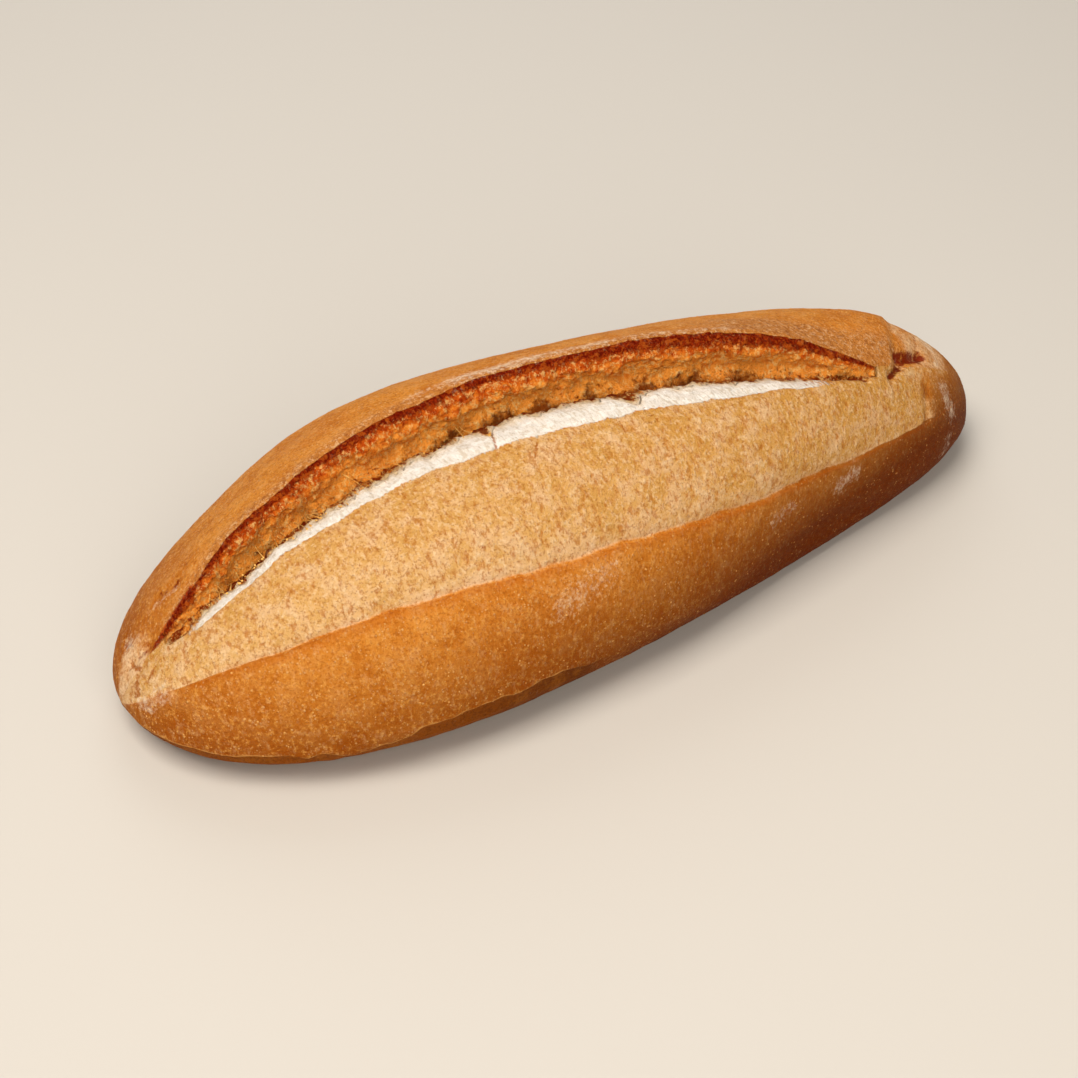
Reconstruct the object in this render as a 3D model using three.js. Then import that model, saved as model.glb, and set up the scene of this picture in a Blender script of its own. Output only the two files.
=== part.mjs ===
// A long white loaf with one deep slash along its top.
// The blunt end is at -X, the slim end at +X, and the raised lip of the slash leans back towards +Y.
import * as THREE from 'three';
import { mergeVertices } from 'three/addons/utils/BufferGeometryUtils.js';

// Body of the loaf, in millimetres.
const LENGTH = 300; // tip to tip
const WIDTH = 108; // across the belly at mid-length
const HEIGHT = 72; // crest of the dough at mid-length, without the lip
const TIP_HEIGHT = 12; // the two tips above the base
const BELLY_HEIGHT = 20.5; // the widest line above the base at mid-length
const WIDTH_TAPER = 0.285; // how much wider the blunt end is than the slim end
const PLAN_POWER = 2.45; // fullness of the outline seen from above
const CREST_POWER = 2.3; // fullness of the outline seen from the side
const CREST_ROOT = 0.62; // how quickly the crest falls to the tips
const BELLY_ROOT = 1.5; // how quickly the widest line falls to the tips
const BASE_LENGTH_SHARE = 0.87; // flat base against the full length
const BASE_WIDTH_SHARE = 0.66; // flat base against the full width
const END_WIDTH = 20; // unevenness fades out where the half width is below this

// Lines of the slash, in degrees round the section from the front belly line (0) over the top (90).
// Each line gives its angle at mid-length, its drift along the loaf, and then its bends towards the ends.
const RIM = [27.2, -20.6, 13.6, 13]; // upper edge of the front crust
const CRUMB_FRONT = [67.9, -25.9, -10.4, 16.3]; // where the bloom ends and bare crumb starts
const CRUMB_BACK = [82.7, -30.4, -37.2]; // where the crumb strip drops into the torn pockets
const LIP = [94.1, -17.7, -29.6, -31.7, -36.6]; // upper edge of the torn flap
const BLOOM_LEAST = 18; // least angle from the rim to the crumb
const STRIP_LEAST = 2.5; // least angle across the crumb strip
const FACE_LEAST = 4; // least angle from the crumb strip to the lip

// The slash opens and shuts between these stations, as shares of the half length.
const OPENS = { from: -0.95, to: -0.72 };
const SHUTS = { from: 0.35, to: 0.68 };

// Depths and heights of the slash, in millimetres off the plain section.
const RIM_STEP = 0.9; // crease where the bloom starts inside the rim
const BLOOM_SWELL = 1.2; // how far the bloom swells up between its two edges
const CRUMB_DEPTH = 6; // back of the crumb strip
const POCKET_DEPTH = 7.5; // torn hollow behind the crumb strip
const LIP_LIFT = 4; // lip above the plain section
const FLAP_ANGLE = 28; // how far behind the lip the flap runs out, in degrees

// Unevenness, in millimetres.
const LUMP = 0.7; // slow swells of the crust
const CRAG = 1.6; // crags of the torn face
const LEDGE_STEP = 1.1; // how far the side crust stands out over the skirt below its torn edge

// Torn edge of the side crust, as shares of the belly height.
const LEDGE_HIGH = 0.93; // towards the blunt end
const LEDGE_LOW = 0.6; // towards the slim end, where the edge has closed
const LEDGE_RAGGED = 0.04; // how far that edge wavers up and down
const LEDGE_CLOSES = { from: -0.34, to: -0.05 };

// Flakes of the front crust that hang further down over the skirt.
const FLAKES = [
  { at: -0.765, half: 4, fall: 0.17 },
  { at: -0.69, half: 9, fall: 0.33 },
  { at: -0.62, half: 8, fall: 0.15 },
];

// Pockets torn deeper than the rest of the hollow: station, half length and extra depth.
const POCKETS = [
  { at: -0.78, half: 3, depth: 2.5 },
  { at: -0.735, half: 3.5, depth: 2.5 },
  { at: -0.68, half: 4, depth: 2.5 },
  { at: -0.6, half: 3.5, depth: 2.5 },
  { at: -0.27, half: 8, depth: 4.5 },
  { at: -0.17, half: 4, depth: 3 },
  { at: -0.09, half: 5, depth: 3 },
  { at: 0.01, half: 6, depth: 3 },
  { at: 0.12, half: 3, depth: 2.5 },
  { at: 0.21, half: 7, depth: 2.5 },
  { at: 0.33, half: 4, depth: 2 },
];

// The flap ends in a short step down, which slants over the top towards the slim end.
const FLAP_END = { from: 0.52, at: 0.711, angle: 71, slant: 0.00245, run: 0.015, lift: 1.4 };

// Broad swells and dents of the body: place as a share of the half length and an angle.
// Their reach along and across and their lift are in millimetres.
const SWELLS = [
  { at: [-0.8, 135], along: 38, across: 30, lift: -3.5 }, // flat back shoulder at the blunt end
  { at: [-0.42, 130], along: 42, across: 30, lift: 2.3 }, // full back beside it
  { at: [0.42, -15], along: 40, across: 30, lift: -5.5 }, // drawn-in front flank near the slim end
  { at: [0.84, -15], along: 22, across: 25, lift: 1 }, // full corner at the slim end
  { at: [-0.55, -25], along: 60, across: 30, lift: 2 }, // full front flank near the blunt end
  { at: [0.35, 120], along: 50, across: 30, lift: -2 }, // flat back of the flap
  { at: [0.75, 110], along: 25, across: 30, lift: 1 }, // end of the flap
];

// Creases pressed into the crust, each from one place to another, with width and depth in millimetres.
const CREASES = [
  { from: [0.723, 62], to: [0.8, 64], width: 2.2, depth: 3.2 }, // pocket beyond the end of the flap
  { from: [0.67, 52], to: [0.718, 58], width: 1.5, depth: 2 }, // crack from the flap to the pocket
  { from: [0.545, 58], to: [0.596, 53], width: 1.3, depth: 1.6 }, // notch under the end of the lip
  { from: [0.75, 26], to: [0.772, 45], width: 1.6, depth: 0.7 }, // end of the bloom
  { from: [-0.846, 101], to: [-0.875, 106], width: 1.6, depth: 1.3 }, // fold behind the blunt end of the lip
  { from: [-0.955, 120], to: [-0.948, 112], width: 2, depth: 1.3 }, // pinch at the blunt end
  { from: [-0.934, 86], to: [-0.968, 94], width: 1.5, depth: 1.2 }, // crease from the lip to the blunt tip
];

// Mesh density.
const STATIONS = 90; // sections along the loaf
const TIP_CROWDING = 0.8; // 0 for even stations, 1 for stations crowded at the tips
const SKIRT_SHARES = [0.3, 0.6, 0.85, 0.97]; // rows of the skirt from the base up to the torn edge
const FLANK_STEPS = 4;
const FRONT_STEPS = 5;
const SLASH_STEPS = 25;
const FLAP_STEPS = 6;
const BACK_STEPS = 8;
const FOOT_RADIUS = 30; // the plain triangle in the middle of the base

const { smoothstep, lerp, degToRad: rad, radToDeg: deg } = THREE.MathUtils;

// Plain body: half width, crest and belly line at a station u from -1 to 1.
const halfWidth = (u) => (WIDTH / 2) * Math.sqrt(1 - Math.abs(u) ** PLAN_POWER) * (1 - WIDTH_TAPER * u);
const fullness = (u) => 1 - Math.abs(u) ** CREST_POWER;
const crest = (u) => TIP_HEIGHT + (HEIGHT - TIP_HEIGHT) * fullness(u) ** CREST_ROOT;
const belly = (u) => TIP_HEIGHT + (BELLY_HEIGHT - TIP_HEIGHT) * fullness(u) ** BELLY_ROOT;
const endFade = (u) => Math.min(1, halfWidth(u) / END_WIDTH);

const lineAngle = (line, u) => line.reduceRight((sum, value) => sum * u + value, 0);

// The four lines at a station, each kept its least distance behind the one before.
function slashLines(u) {
  const rim = lineAngle(RIM, u);
  const front = Math.max(lineAngle(CRUMB_FRONT, u), rim + BLOOM_LEAST);
  const back = Math.max(lineAngle(CRUMB_BACK, u), front + STRIP_LEAST);
  const lip = Math.max(lineAngle(LIP, u), back + FACE_LEAST);
  return { rim, front, back, lip };
}

// How far the slash is open at a station, from 0 at its ends to 1 near mid-length.
const opening = (u) => smoothstep(u, OPENS.from, OPENS.to) * (1 - smoothstep(u, SHUTS.from, SHUTS.to));

// A wavering value of about -1 to 1: four waves, each shorter and weaker than the one before.
function waver(u, seed, frequency) {
  let sum = 0;
  for (let k = 0; k < 4; k++) {
    sum += Math.sin(frequency * 1.8 ** k * u + 2.4 * seed * (k + 1)) / 1.4 ** k;
  }
  return sum / 2;
}

// Point on the upper body at an angle, lifted off the plain section by some millimetres.
function upper(u, angle, lift) {
  const w = halfWidth(u);
  const rise = crest(u) - belly(u);
  const c = Math.cos(rad(angle));
  const s = Math.sin(rad(angle));
  const normal = Math.hypot(rise * c, w * s) || 1;
  return new THREE.Vector3(
    (LENGTH / 2) * u,
    -w * c - (lift * rise * c) / normal,
    belly(u) + rise * s + (lift * w * s) / normal
  );
}

// How deep a crease is at a place on the crust.
function creaseDepth(crease, u, angle) {
  const round = rad(1) * halfWidth(crease.from[0]);
  const flat = (place) => new THREE.Vector2((place[0] * LENGTH) / 2, place[1] * round);
  const start = flat(crease.from);
  const run = flat(crease.to).sub(start);
  const offset = flat([u, angle]).sub(start);
  const share = THREE.MathUtils.clamp(offset.dot(run) / run.lengthSq(), 0, 1);
  const distance = offset.sub(run.multiplyScalar(share)).length() / crease.width;
  return crease.depth * Math.exp(-distance * distance);
}

// How high a broad swell is at a place on the crust.
function swellLift(swell, u, angle) {
  const along = (((u - swell.at[0]) * LENGTH) / 2) / swell.along;
  const across = (rad(angle - swell.at[1]) * halfWidth(swell.at[0])) / swell.across;
  return swell.lift * Math.exp(-along * along - across * across);
}

// Slow swells, the end step of the flap and the creases, as a lift at a place on the crust.
function relief(u, angle) {
  let lift = LUMP * waver(u + angle / 140, 3, 5) * Math.cos(rad(angle * 2.3) + 4 * u);
  const { lip } = slashLines(u);
  const flapStation = u - FLAP_END.slant * (angle - FLAP_END.angle);
  const flapRise = smoothstep(flapStation, FLAP_END.from, FLAP_END.at);
  const flapStep = 1 - smoothstep(flapStation, FLAP_END.at, FLAP_END.at + FLAP_END.run);
  lift += FLAP_END.lift * smoothstep(angle, lip - 3, lip + 3) * flapRise * flapStep;
  for (const swell of SWELLS) lift += swellLift(swell, u, angle);
  for (const crease of CREASES) lift -= creaseDepth(crease, u, angle);
  return lift * endFade(u);
}

// Point below the belly line: `side` is -1 in front and 1 behind.
// `turn` runs from 0 at the belly to 90 at the base, and `inset` draws the point in towards the middle.
// The relief of the flank fades out towards the base.
function lower(u, side, turn, inset) {
  const c = Math.cos(rad(turn));
  const x = (LENGTH / 2) * u * lerp(BASE_LENGTH_SHARE, 1, c);
  const swollen = relief(u, side < 0 ? -turn : 180 + turn) * c;
  const y = side * (halfWidth(u) * lerp(BASE_WIDTH_SHARE, 1, c) + swollen);
  const shrink = 1 - inset / Math.max(Math.hypot(x, y), 1);
  return new THREE.Vector3(x * shrink, y * shrink, belly(u) * (1 - Math.sin(rad(turn))));
}

// Extra depth of the pockets at a station.
function pocketDepth(u) {
  const far = (pocket) => ((u - pocket.at) * LENGTH) / 2 / pocket.half;
  return POCKETS.reduce((sum, pocket) => sum + pocket.depth * Math.exp(-(far(pocket) ** 2)), 0);
}

// Profile of the slash from the rim to the edge of the lip, as pairs of angle and lift.
function slashProfile(u) {
  const open = opening(u);
  const crag = CRAG * open;
  const lines = slashLines(u);
  const rim = lines.rim + 0.8 * waver(u, 1, 14);
  const front = lines.front + 0.7 * open * waver(u, 5, 24);
  const back = lines.back;
  const lip = lines.lip + 0.6 * open * waver(u, 2, 20);
  const bloom = front - rim;
  const strip = back - front;
  // Where the slash is shut the points of the face lie evenly; where it is open they hollow out under the lip.
  const face = (even, torn) => back + (lip - back) * lerp(even, torn, open);
  return [
    [rim, 0],
    [rim + 0.03 * bloom, -RIM_STEP * open],
    [rim + 0.1 * bloom, -0.2 * RIM_STEP * open],
    [rim + 0.3 * bloom, 0.8 * BLOOM_SWELL * open],
    [rim + 0.65 * bloom, BLOOM_SWELL * open],
    [front - 0.05 * bloom, 0.25 * BLOOM_SWELL * open],
    [front + 0.25 * strip, -0.17 * CRUMB_DEPTH * open],
    [front + 0.65 * strip, -0.58 * CRUMB_DEPTH * open],
    [back, -CRUMB_DEPTH * open + 0.5 * crag * waver(u, 6, 30)],
    [face(0.18, 0.22), -(POCKET_DEPTH + pocketDepth(u)) * open + crag * waver(u, 7, 34)],
    [face(0.36, 0.62), -0.72 * POCKET_DEPTH * open + crag * waver(u, 8, 34)],
    [face(0.52, 0.6) + 0.5 * crag * waver(u, 9, 40), -0.2 * POCKET_DEPTH * open],
    [face(0.68, 0.66) + 0.6 * crag * waver(u, 10, 44), 0.2 * LIP_LIFT * open],
    [face(0.84, 0.82) + 0.4 * crag * waver(u, 11, 44), 0.7 * LIP_LIFT * open],
    [lip, LIP_LIFT * open],
  ];
}

// Profile of the flap from the lip back to where it runs out into the plain crust.
function flapProfile(u) {
  const lift = LIP_LIFT * opening(u);
  const lip = slashProfile(u).at(-1)[0];
  return [
    [lip, lift],
    [lip + 0.1 * FLAP_ANGLE, 1.02 * lift],
    [lip + 0.35 * FLAP_ANGLE, 0.62 * lift],
    [lip + FLAP_ANGLE, 0],
  ];
}

// Smooth run of `count` steps through pairs of angle and lift.
function sample(pairs, count) {
  const spline = new THREE.SplineCurve(pairs.map(([angle, lift]) => new THREE.Vector2(angle, lift)));
  return spline.getPoints(count).map((p) => [p.x, p.y]);
}

// The torn edge of the side crust is open at the blunt end (0) and closed towards the slim end (1).
const ledgeClosed = (u) => smoothstep(u, LEDGE_CLOSES.from, LEDGE_CLOSES.to);

// Height of the torn edge of the side crust at a station, as a share of the belly height.
function ledgeShare(u, side) {
  let share = lerp(LEDGE_HIGH, LEDGE_LOW, ledgeClosed(u));
  share += LEDGE_RAGGED * endFade(u) * waver(u, 12 + side, 26);
  for (const { at, half, fall } of side < 0 ? FLAKES : []) {
    share -= fall * Math.max(0, 1 - (Math.abs(u - at) * LENGTH) / 2 / half);
  }
  return share;
}

// Side below the belly, from the base up: skirt, torn ledge of the crust, then the rounded flank.
function flank(u, side) {
  const turn = deg(Math.asin(1 - ledgeShare(u, side)));
  const step = LEDGE_STEP * endFade(u) * (1 - ledgeClosed(u));
  const points = [lower(u, side, 90, 0)];
  for (const share of SKIRT_SHARES) points.push(lower(u, side, lerp(90, turn, share), step * share));
  for (let k = 0; k < FLANK_STEPS; k++) points.push(lower(u, side, turn * (1 - k / FLANK_STEPS), 0));
  return points;
}

// One section from the front edge of the base over the top to the back edge.
function section(u) {
  const slash = sample(slashProfile(u), SLASH_STEPS);
  const flap = sample(flapProfile(u), FLAP_STEPS).slice(1);
  const rim = slash[0][0];
  const runOut = flap.at(-1)[0];
  const arc = [];
  for (let k = 0; k < FRONT_STEPS; k++) arc.push([(rim * k) / FRONT_STEPS, 0]);
  arc.push(...slash, ...flap);
  for (let k = 1; k <= BACK_STEPS; k++) arc.push([lerp(runOut, 180, k / BACK_STEPS), 0]);
  const top = arc.map(([angle, lift]) => upper(u, angle, lift + relief(u, angle)));
  return [...flank(u, -1), ...top, ...flank(u, 1).reverse()];
}

// Stations lie closer together towards the tips.
const stations = [];
for (let i = 0; i <= STATIONS; i++) {
  const even = (2 * i) / STATIONS - 1;
  const crowded = -Math.cos((Math.PI * i) / STATIONS);
  stations.push(lerp(even, crowded, TIP_CROWDING));
}
const rings = stations.map(section);

// Skin between neighbouring sections.
const corners = [];
const addTriangle = (a, b, c) => corners.push(...a.toArray(), ...b.toArray(), ...c.toArray());
for (let i = 0; i < STATIONS; i++) {
  for (let j = 0; j + 1 < rings[i].length; j++) {
    const [a, b, c, d] = [rings[i][j], rings[i + 1][j], rings[i + 1][j + 1], rings[i][j + 1]];
    addTriangle(a, b, c);
    addTriangle(a, c, d);
  }
}

// Flat base: the outline of the base round one plain triangle under the middle of the loaf.
const outline = [...rings.map((ring) => ring[0]), ...rings.slice(1, -1).map((ring) => ring.at(-1)).reverse()];
const foot = [90, 210, 330].map((turn) =>
  new THREE.Vector3(Math.cos(rad(turn)), Math.sin(rad(turn)), 0).multiplyScalar(FOOT_RADIUS)
);
const flatten = (points) => points.map((p) => new THREE.Vector2(p.x, p.y));
const baseCorners = [...outline, ...foot];
for (const [a, b, c] of THREE.ShapeUtils.triangulateShape(flatten(outline), [flatten(foot)])) {
  addTriangle(baseCorners[c], baseCorners[b], baseCorners[a]);
}
addTriangle(foot[2], foot[1], foot[0]);

// Close the skin: shared corners become one, and triangles that shrink to nothing at the tips go.
function closeSkin(points) {
  const loose = new THREE.BufferGeometry();
  loose.setAttribute('position', new THREE.Float32BufferAttribute(points, 3));
  const skin = mergeVertices(loose, 1e-3);
  const kept = [];
  for (let k = 0; k < skin.index.count; k += 3) {
    const [a, b, c] = skin.index.array.slice(k, k + 3);
    if (a !== b && b !== c && c !== a) kept.push(a, b, c);
  }
  skin.setIndex(kept);
  return skin;
}

// The origin is the middle of the base.
const geometry = closeSkin(corners);
geometry.computeBoundingBox();
const middle = geometry.boundingBox.getCenter(new THREE.Vector3());
geometry.translate(-middle.x, -middle.y, -geometry.boundingBox.min.z);
geometry.computeVertexNormals();

const crust = new THREE.MeshStandardMaterial({ name: 'crust', color: 0xc47a34, roughness: 0.7, metalness: 0 });
const loaf = new THREE.Mesh(geometry, crust);
loaf.name = 'loaf';

const part = new THREE.Group();
part.name = 'white_bread_loaf';
part.add(loaf);

export default part;
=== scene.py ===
# %% [markdown]
# # A white bread loaf
# This lesson builds one crusty white loaf in Blender. The loaf was slashed once along its top before it was
# baked, so the oven tore it open: a raised burnt lip, a golden torn face, a strip of white crumb and a pale
# bloom show above the smooth brown crust.
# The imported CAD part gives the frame. Everything below sits in that frame, in metres, with +X along the
# loaf towards its slim end, +Y to the back and +Z up.

# %% Load the frame
import math

import bpy
import numpy as np
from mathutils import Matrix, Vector


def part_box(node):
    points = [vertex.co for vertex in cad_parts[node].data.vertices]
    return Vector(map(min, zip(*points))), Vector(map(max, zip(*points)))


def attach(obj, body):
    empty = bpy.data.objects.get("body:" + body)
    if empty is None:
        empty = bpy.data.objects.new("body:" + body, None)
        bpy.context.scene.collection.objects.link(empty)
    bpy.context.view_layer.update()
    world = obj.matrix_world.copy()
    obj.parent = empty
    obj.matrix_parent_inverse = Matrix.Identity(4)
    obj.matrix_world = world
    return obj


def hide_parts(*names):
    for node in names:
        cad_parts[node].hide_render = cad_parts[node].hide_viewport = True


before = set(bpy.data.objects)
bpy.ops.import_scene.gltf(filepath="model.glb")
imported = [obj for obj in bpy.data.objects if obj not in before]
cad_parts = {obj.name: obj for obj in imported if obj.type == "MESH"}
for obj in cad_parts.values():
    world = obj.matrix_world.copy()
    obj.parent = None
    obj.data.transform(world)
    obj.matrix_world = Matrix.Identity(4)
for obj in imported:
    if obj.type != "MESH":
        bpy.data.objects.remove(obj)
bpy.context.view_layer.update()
low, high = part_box("loaf")

DRAWN_LENGTH = 300  # the loaf is drawn 300 mm long
MM = (high.x - low.x) / DRAWN_LENGTH  # one drawn millimetre in metres
print("CAD box in mm:", [round(v / MM, 1) for v in high - low])

# %% [markdown]
# ## The plain body
# Before the slash, the loaf is a long dome on a flat base. It could be sculpted by hand or lofted from a
# few drawn sections. Here every section comes from a rule: a station `u` runs from -1 at the blunt tip to 1
# at the slim tip, and an angle in degrees runs round the section from the front belly line (0) over the top
# (90) to the back (180). A rule keeps the fine skin close to the CAD solid, and it can be sampled as densely
# as each region needs.

# %% Sizes of the plain body, in drawn millimetres
WIDTH = 108  # across the belly at mid-length
HEIGHT = 72  # crest of the dough at mid-length, without the lip
TIP_HEIGHT = 12  # the two tips above the base
BELLY_HEIGHT = 20.5  # the widest line above the base at mid-length
WIDTH_TAPER = 0.285  # how much wider the blunt end is than the slim end
PLAN_POWER = 2.45  # fullness of the outline seen from above
CREST_POWER = 2.3  # fullness of the outline seen from the side
CREST_ROOT = 0.62  # how quickly the crest falls to the tips
BELLY_ROOT = 1.5  # how quickly the widest line falls to the tips
BASE_LENGTH_SHARE = 0.87  # flat base against the full length
BASE_WIDTH_SHARE = 0.66  # flat base against the full width
END_WIDTH = 20  # unevenness fades out where the half width is below this


def half_width(u):
    taper = 1 - WIDTH_TAPER * u
    return WIDTH / 2 * np.sqrt(1 - np.abs(u) ** PLAN_POWER) * taper


def fullness(u):
    return 1 - np.abs(u) ** CREST_POWER


def crest(u):
    return TIP_HEIGHT + (HEIGHT - TIP_HEIGHT) * fullness(u) ** CREST_ROOT


def belly(u):
    return TIP_HEIGHT + (BELLY_HEIGHT - TIP_HEIGHT) * fullness(u) ** BELLY_ROOT


def end_fade(u):
    return np.minimum(1, half_width(u) / END_WIDTH)


def upper(u, angle, lift):
    """Points on the dome at an angle in degrees, lifted off the plain section."""
    w, rise = half_width(u), crest(u) - belly(u)
    c, s = np.cos(np.radians(angle)), np.sin(np.radians(angle))
    normal = np.maximum(np.hypot(rise * c, w * s), 1e-9)
    x = DRAWN_LENGTH / 2 * u + 0 * angle
    y = -w * c - lift * rise * c / normal
    z = belly(u) + rise * s + lift * w * s / normal
    return np.stack([x, y, z], -1)


print("plain width at mid-length:", round(2 * float(half_width(0)), 1), "mm")


# %% Small rules that several steps share
def ramp(low_end, high_end, value):
    """0 below one value, 1 above the other, smooth between them."""
    t = np.clip((value - low_end) / (high_end - low_end), 0, 1)
    return t * t * (3 - 2 * t)


def blend(a, b, share):
    return a + (b - a) * share


def waver(u, seed, frequency):
    """A wavering value of about -1 to 1: four waves, each shorter and weaker than the one before."""
    waves = [np.sin(frequency * 1.8**k * u + 2.4 * seed * (k + 1)) / 1.4**k for k in range(4)]
    return sum(waves) / 2


def near(u, angle, start, end, width):
    """1 on the line between two places of the crust, falling to 0 about two widths away from it."""
    mm_per_degree = np.radians(1) * half_width(start[0])
    scale = np.array([DRAWN_LENGTH / 2, mm_per_degree])
    run = (np.array(end) - np.array(start)) * scale
    offset = np.stack([u + 0 * angle, angle + 0 * u], -1) * scale - np.array(start) * scale
    share = np.clip(offset @ run / (run @ run), 0, 1)
    distance = np.linalg.norm(offset - share[..., None] * run, axis=-1) / width
    return np.exp(-(distance**2))


# %% [markdown]
# ## The slash
# The baker's blade ran along the top at a slant. In the oven the flap behind the cut curled up into a lip,
# the dough in front of it swelled into the bloom, and the last of it tore, which left white crumb and dark
# pockets. Cutting this with booleans would give clean knife walls. A profile of named lines is better: each
# line has an angle and a lift, the lines waver along the loaf, and a smooth curve through them folds under
# the lip.

# %% Lines and depths of the slash
# Each line gives its angle at mid-length, its drift along the loaf, and then its bends towards the ends.
RIM = (27.2, -20.6, 13.6, 13)  # upper edge of the front crust
CRUMB_FRONT = (67.9, -25.9, -10.4, 16.3)  # where the bloom ends and bare crumb starts
CRUMB_BACK = (82.7, -30.4, -37.2)  # where the crumb strip drops into the torn pockets
LIP = (94.1, -17.7, -29.6, -31.7, -36.6)  # upper edge of the torn flap
BLOOM_LEAST, STRIP_LEAST, FACE_LEAST = 18, 2.5, 4  # least angles between each two of these lines
OPENS, SHUTS = (-0.95, -0.72), (0.35, 0.68)  # stations between which the slash opens and shuts
RIM_WAVER, STRIP_WAVER, LIP_WAVER = 0.8, 0.7, 0.6  # degrees by which these lines waver
FLAP_ANGLE = 28  # how far behind the lip the flap runs out
# Heights and depths in millimetres.
RIM_STEP = 0.9
BLOOM_SWELL = 1.2
CRUMB_DEPTH = 6
POCKET_DEPTH = 7.5
LIP_LIFT = 4
CRAG = 1.6

# Torn pockets behind the crumb strip: station, half length and extra depth in millimetres.
POCKETS = [
    (-0.78, 3, 2.5),
    (-0.735, 3.5, 2.5),
    (-0.68, 4, 2.5),
    (-0.6, 3.5, 2.5),
    (-0.27, 8, 4.5),
    (-0.17, 4, 3),
    (-0.09, 5, 3),
    (0.01, 6, 3),
    (0.12, 3, 2.5),
    (0.21, 7, 2.5),
    (0.33, 4, 2),
]


def pockets(u):
    """Extra depth of the torn pockets at a station."""
    return sum(depth * np.exp(-(((u - at) * DRAWN_LENGTH / 2 / half) ** 2)) for at, half, depth in POCKETS)


def line_angle(line, u):
    return sum(value * u**power for power, value in enumerate(line))


def slash_lines(u):
    """Rim, front and back of the crumb strip, and lip, each a least angle behind the one before."""
    rim = line_angle(RIM, u)
    front = np.maximum(line_angle(CRUMB_FRONT, u), rim + BLOOM_LEAST)
    back = np.maximum(line_angle(CRUMB_BACK, u), front + STRIP_LEAST)
    lip = np.maximum(line_angle(LIP, u), back + FACE_LEAST)
    return rim, front, back, lip


def opening(u):
    """0 where the slash is shut, 1 where it is fully open."""
    return ramp(*OPENS, u) * (1 - ramp(*SHUTS, u))


print("torn pockets:", len(POCKETS))


# %% Profile across the slash
def slash_profile(u):
    """Control lines from the rim to the edge of the lip, as rows of angle and lift for all stations."""
    gap = opening(u)
    crag = CRAG * gap
    rim, front, back, lip = slash_lines(u)
    rim = rim + RIM_WAVER * waver(u, 1, 14)
    front = front + STRIP_WAVER * gap * waver(u, 5, 24)
    lip = lip + LIP_WAVER * gap * waver(u, 2, 20)
    bloom, strip = front - rim, back - front

    def face(even, torn):
        return back + (lip - back) * blend(even, torn, gap)

    rows = [
        (rim, 0 * u),
        (rim + 0.03 * bloom, -RIM_STEP * gap),
        (rim + 0.1 * bloom, -0.2 * RIM_STEP * gap),
        (rim + 0.3 * bloom, 0.8 * BLOOM_SWELL * gap),
        (rim + 0.65 * bloom, BLOOM_SWELL * gap),
        (front - 0.05 * bloom, 0.25 * BLOOM_SWELL * gap),
        (front + 0.25 * strip, -0.17 * CRUMB_DEPTH * gap),
        (front + 0.65 * strip, -0.58 * CRUMB_DEPTH * gap),
        (back, -CRUMB_DEPTH * gap + 0.5 * crag * waver(u, 6, 30)),
        (face(0.18, 0.22), -(POCKET_DEPTH + pockets(u)) * gap + crag * waver(u, 7, 34)),
        (face(0.36, 0.62), -0.72 * POCKET_DEPTH * gap + crag * waver(u, 8, 34)),
        (face(0.52, 0.6) + 0.5 * crag * waver(u, 9, 40), -0.2 * POCKET_DEPTH * gap),
        (face(0.68, 0.66) + 0.6 * crag * waver(u, 10, 44), 0.2 * LIP_LIFT * gap),
        (face(0.84, 0.82) + 0.4 * crag * waver(u, 11, 44), 0.7 * LIP_LIFT * gap),
        (lip, LIP_LIFT * gap),
    ]
    return np.array(rows)


def flap_profile(u):
    """Control lines from the lip back to where the flap runs out into the plain crust."""
    lip, lift = slash_profile(u)[-1]
    rows = [
        (lip, lift),
        (lip + 0.1 * FLAP_ANGLE, 1.02 * lift),
        (lip + 0.35 * FLAP_ANGLE, 0.62 * lift),
        (lip + FLAP_ANGLE, 0 * u),
    ]
    return np.array(rows)


def smooth_run(rows, steps):
    """Smooth curve through the control lines, with its own number of steps between each two of them."""
    padded = np.concatenate([rows[:1], rows, rows[-1:]])
    points, places = [rows[:1]], [np.zeros(1)]
    for k, count in enumerate(steps):
        t = (np.arange(1, count + 1) / count)[:, None, None]
        before, a, b, after = padded[k : k + 4]
        slope_a, slope_b = (b - before) / 2, (after - a) / 2
        cubic = (2 * a - 2 * b + slope_a + slope_b) * t**3
        square = (-3 * a + 3 * b - 2 * slope_a - slope_b) * t**2
        points.append(cubic + square + slope_a * t + a)
        places.append(k + t[:, 0, 0])
    return np.concatenate(points), np.concatenate(places)


print("control lines across the slash:", len(slash_profile(np.zeros(1))))

# %% [markdown]
# ## Swells, creases and the torn ledge
# No loaf is smooth. This one has slow swells, a short step where the flap ends, a pocket and a crack beyond
# it, folds at the blunt end, and a ledge low on its side where the crust tore away from the skirt. Each
# crease is a line between two places on the crust, so it stays easy to read and to move.

# %% Relief of the crust
LUMP = 0.7  # slow unevenness of the crust in millimetres
LIP_BLUR = 3  # degrees either side of the lip over which the flap's own relief starts
FLAP_END = {"start": 0.52, "at": 0.711, "angle": 71, "slant": 0.00245, "run": 0.015, "lift": 1.4}

# Broad swells and dents: station and angle, reach along and across, lift; the last three in millimetres.
SWELLS = [
    ((-0.8, 135), 38, 30, -3.5),  # flat back shoulder at the blunt end
    ((-0.42, 130), 42, 30, 2.3),  # full back beside it
    ((0.42, -15), 40, 30, -5.5),  # drawn-in front flank near the slim end
    ((0.84, -15), 22, 25, 1),  # full corner at the slim end
    ((-0.55, -25), 60, 30, 2),  # full front flank near the blunt end
    ((0.35, 120), 50, 30, -2),  # flat back of the flap
    ((0.75, 110), 25, 30, 1),  # end of the flap
]

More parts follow.
